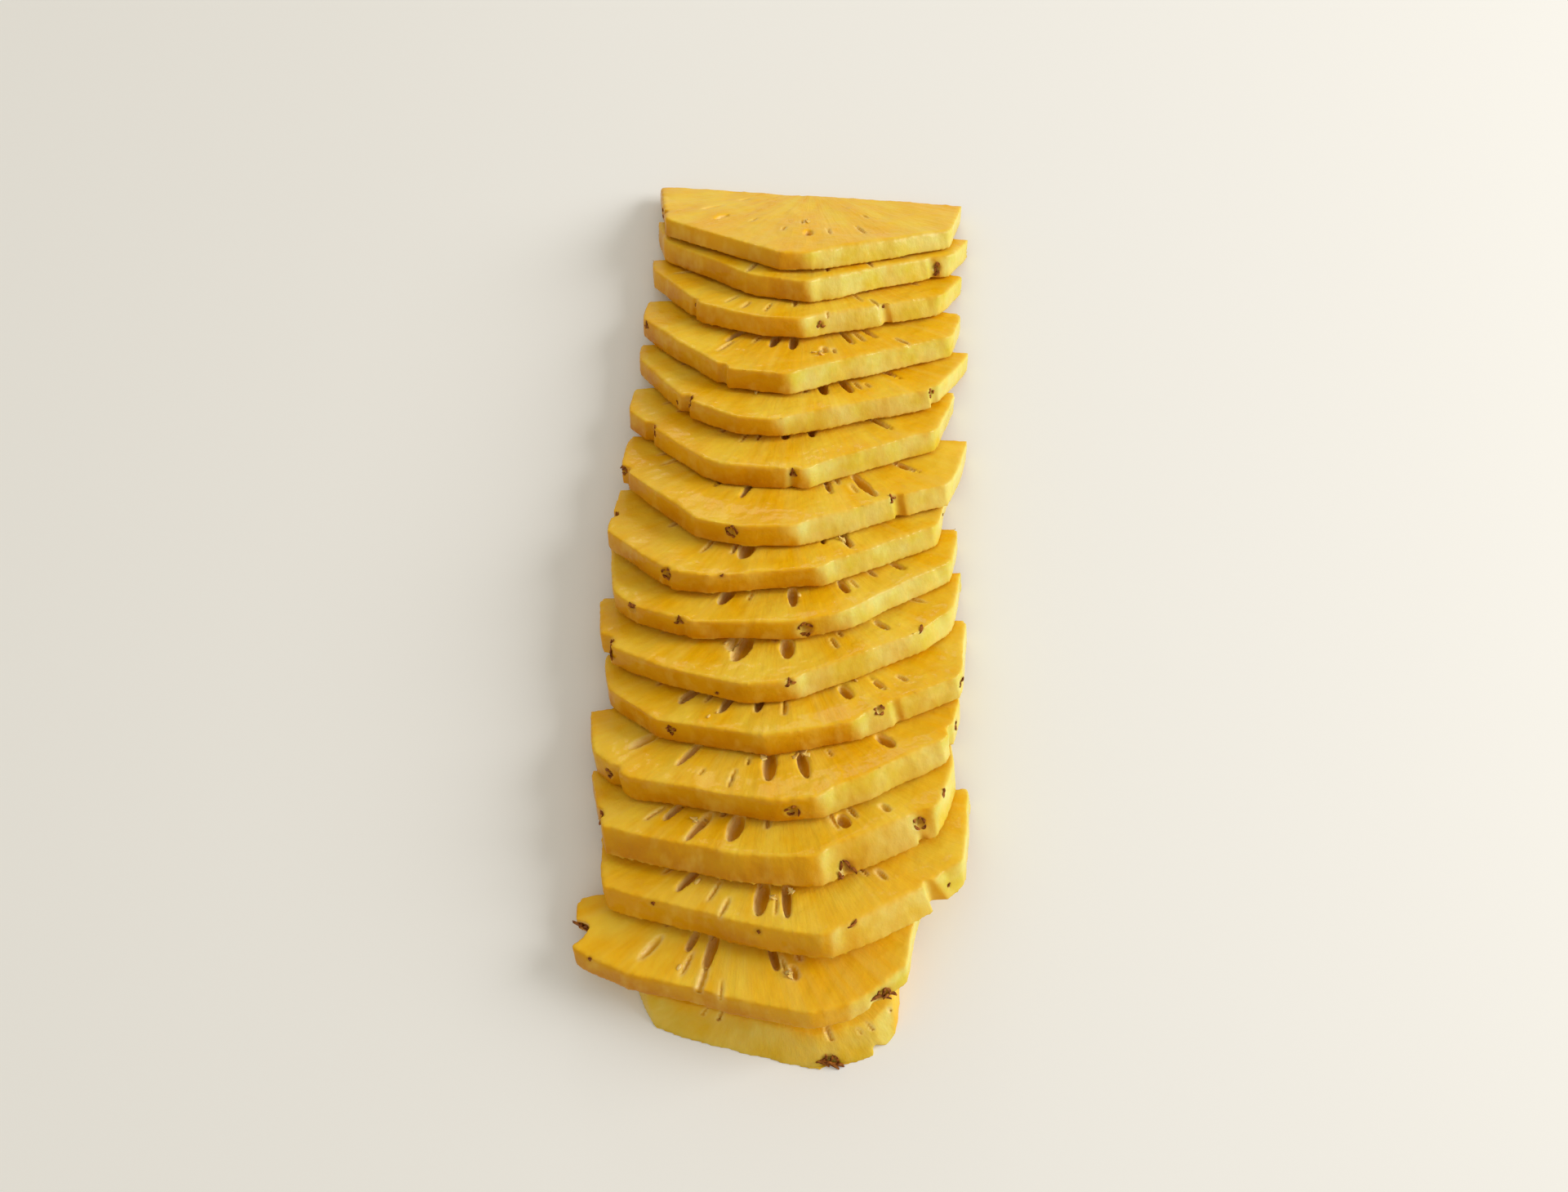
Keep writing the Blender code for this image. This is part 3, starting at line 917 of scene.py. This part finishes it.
def lay_scale(seat, normal, up, surface, stroke, draw):
    """The matrix that lays one scale in its eye, on the nearest point of the dented flesh."""
    across, rise, turn_angle, length = stroke
    normal = Vector(normal).normalized()
    side = Vector(up).cross(normal).normalized()
    rise_way = normal.cross(side)
    over = np.array(Vector(seat) + (side * across + rise_way * rise) * MM)
    place = Vector(nearest_point(surface, over)) + normal * SCALE_LIFT * MM
    sides = Matrix((side, rise_way, normal)).transposed().to_4x4()
    spin = Matrix.Rotation(math.radians(turn_angle), 4, "Z")
    tip = Matrix.Rotation(math.radians(draw.uniform(-22, 22)), 4, "Y")
    wide, thick = draw.uniform(0.55, 0.85) * MM, draw.uniform(0.3, 0.5) * MM
    size = Matrix.Diagonal((length * MM, wide, thick, 1))
    return Matrix.Translation(place) @ sides @ spin @ tip @ size


bits = {}
surfaces = {piece.name: read_points(piece)[0] for piece in flesh_pieces.values()}
for index, (eye, piece, seat, normal) in enumerate(eye_seats):
    draw = random.Random(EYE_SEEDS + index)
    strokes = STROKES.get(eye.kind) or ring_strokes(RINGS[eye.kind], draw)
    up = axes_of[NAMES[eye.slice - 1]].up
    for stroke in strokes:
        place = lay_scale(seat, normal, up, surfaces[piece.name], stroke, draw)
        bits.setdefault(eye.slice, []).append(add_bit(scale_bit.data.copy(), place))
bpy.data.objects.remove(scale_bit)
print("scales laid:", sum(len(group) for group in bits.values()))

# %% [markdown]
# The wood
#
# The scales are dark brown where they are thick and reddish where they fray, and matt
# beside the wet flesh. A small noise on the piece's own place gives that mix. The same
# function makes the paint of the pale shreds further down.

# %% Woody material
def speckled_material(name, scale, low, high, sockets):
    """A material that runs from one tone to another by a small noise on the Object place."""
    material = bpy.data.materials.new(name)
    material.use_nodes = True
    nodes, links = material.node_tree.nodes, material.node_tree.links
    place = nodes.new("ShaderNodeTexCoord")
    noise = nodes.new("ShaderNodeTexNoise")
    noise.inputs["Scale"].default_value = scale
    mix = nodes.new("ShaderNodeValToRGB")
    for element, (position, tone) in zip(mix.color_ramp.elements, (low, high)):
        element.position = position
        element.color = (*tone, 1)
    shader = nodes["Principled BSDF"]
    links.new(place.outputs["Object"], noise.inputs["Vector"])
    links.new(noise.outputs["Fac"], mix.inputs["Fac"])
    links.new(mix.outputs["Color"], shader.inputs["Base Color"])
    for socket, value in sockets.items():
        shader.inputs[socket].default_value = value
    return material


wood = speckled_material("eye_wood", 1100.0, (0.35, (0.125, 0.030, 0.004)),
                         (0.68, (0.43, 0.150, 0.022)),
                         {"Roughness": 0.6, "Specular IOR Level": 0.12})


def join_bits(group, name, material):
    """Join small bits into one piece with one material, its faces turned outward."""
    bpy.ops.object.select_all(action="DESELECT")
    for bit in group:
        bit.select_set(True)
    bpy.context.view_layer.objects.active = group[0]
    bpy.ops.object.join()
    joined = bpy.context.view_layer.objects.active
    joined.name = name
    joined.data.materials.clear()
    joined.data.materials.append(material)
    bpy.ops.object.mode_set(mode="EDIT")
    bpy.ops.mesh.select_all(action="SELECT")
    bpy.ops.mesh.normals_make_consistent(inside=False)
    bpy.ops.object.mode_set(mode="OBJECT")
    bpy.ops.object.shade_smooth()
    return joined


small_pieces = []
for number, group in sorted(bits.items()):
    small_pieces.append(join_bits(group, f"eye_bits_{number:02d}", wood))
print("eye pieces:", len(small_pieces))

# %% [markdown]
# Torn shreds and seeds
#
# Where the knife tore a slot open, small pale shreds of flesh stand at its lips, and here
# and there a slot still holds a white seed. A shred is a cube drawn out to one thin end
# and curled up, and a seed is a cube rounded to an egg. Both are laid on the top by slice,
# direction and distance from the foot, on the nearest point of the flesh.

# %% Shreds and seeds
# Slice, direction, distance in mm, how many shreds and how long they are in mm.
SHREDS = ((5, -7.8, 25.5, 4, 2.4), (5, -6.5, 24, 2, 2.0), (5, 8.7, 26.7, 4, 2.2),
          (4, -43, 31.7, 3, 2.0), (3, -9.7, 27.6, 2, 1.8), (3, -2.5, 25.5, 3, 2.2),
          (9, 31.5, 32, 3, 2.0), (10, -26, 28.4, 3, 1.6), (12, -22, 30, 2, 1.6),
          (13, 12, 31, 3, 1.6), (16, 3, 22, 3, 1.5), (2, 17.9, 29.6, 3, 1.8))
# Slice, direction, distance and length in mm.
SEEDS = ((2, -37.4, 29.0, 1.5), (3, -50, 30.0, 1.7), (6, -34.8, 37.4, 1.1), (6, -32.9, 35.4, 0.8),
         (6, 36, 27.8, 1.0), (8, 5.6, 29.1, 1.6), (7, -30.8, 29.0, 1.5))
SHRED_SEED = 77
SEED_LIFT = 0.2    # mm from the flesh to the middle of a seed


def shred_point(p):
    """Taper to one ragged end and curl up along the length."""
    along = p.x + 0.5
    wide = 1 - 0.75 * along + 0.18 * math.sin(9 * along + 5 * p.y)
    return Vector((p.x, p.y * wide, p.z * (1 - 0.5 * along) + 1.3 * along * along))


def seed_point(p):
    """Round the cube to an egg."""
    ball = p.normalized() * 0.5
    return Vector((ball.x, ball.y * (0.62 - 0.25 * ball.x), ball.z * 0.5))


shred_bit = shape_bit("shred_pattern", shred_point)
seed_bit = shape_bit("seed_pattern", seed_point)


def face_place(axes, surface, direction, distance):
    """The point of the pressed surface nearest to a place on the top."""
    over = axes.foot + heading(axes, direction) * distance * MM + axes.up * axes.thick
    return nearest_point(surface, over)


def lay_on_face(pattern, place, axes, turn_angle, tip_angle, size):
    """A copy of a pattern, laid on the top at a place, turned in the top's plane and tipped."""
    sides = Matrix((Vector(axes.right), Vector(-axes.ahead), Vector(axes.up)))
    sides = sides.transposed().to_4x4()
    spin = Matrix.Rotation(math.radians(turn_angle), 4, "Z")
    tip = Matrix.Rotation(math.radians(tip_angle), 4, "Y")
    grow = Matrix.Diagonal((*(value * MM for value in size), 1))
    place = Matrix.Translation(Vector(place))
    return add_bit(pattern.data.copy(), place @ sides @ spin @ tip @ grow)


pale_groups = {}
draw = random.Random(SHRED_SEED)
for number, direction, distance, count, length in SHREDS:
    axes, surface = axes_of[NAMES[number - 1]], surfaces[f"flesh_{number:02d}"]
    for _ in range(count):
        beside, beyond = draw.uniform(-2.0, 2.0), draw.uniform(-0.8, 0.8)
        place = face_place(axes, surface, direction + beside, distance + beyond)
        size = (length * draw.uniform(0.5, 0.9), draw.uniform(1.2, 1.9), draw.uniform(0.45, 0.75))
        turn_angle, tip_angle = draw.uniform(0, 360), draw.uniform(-15, 5)
        bit = lay_on_face(shred_bit, place, axes, turn_angle, tip_angle, size)
        pale_groups.setdefault(number, []).append(bit)
for number, direction, distance, length in SEEDS:
    axes, surface = axes_of[NAMES[number - 1]], surfaces[f"flesh_{number:02d}"]
    place = face_place(axes, surface, direction, distance) + axes.up * SEED_LIFT * MM
    size = (length * 1.25, length, length * 0.8)
    bit = lay_on_face(seed_bit, place, axes, direction + 90, draw.uniform(-10, 10), size)
    pale_groups.setdefault(number, []).append(bit)
for pattern in (shred_bit, seed_bit):
    bpy.data.objects.remove(pattern)

silk = speckled_material("pale_silk", 900.0, (0.35, (0.80, 0.50, 0.09)),
                         (0.65, (0.86, 0.64, 0.22)),
                         {"Roughness": 0.35, "Subsurface Weight": 0.2,
                          "Subsurface Scale": 1.0 * MM})
for number, group in sorted(pale_groups.items()):
    small_pieces.append(join_bits(group, f"pale_bits_{number:02d}", silk))
print("slices with shreds or seeds:", len(pale_groups))

# %% [markdown]
# Tie each piece to the model
#
# Every flesh piece stands for its solid, so the solid is hidden and stays in the physics.
# The woody bits, shreds and seeds ride along.

# %% Tie and finish
for name, piece in flesh_pieces.items():
    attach(piece, "root")
    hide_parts(name)
for piece in small_pieces:
    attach(piece, "root")
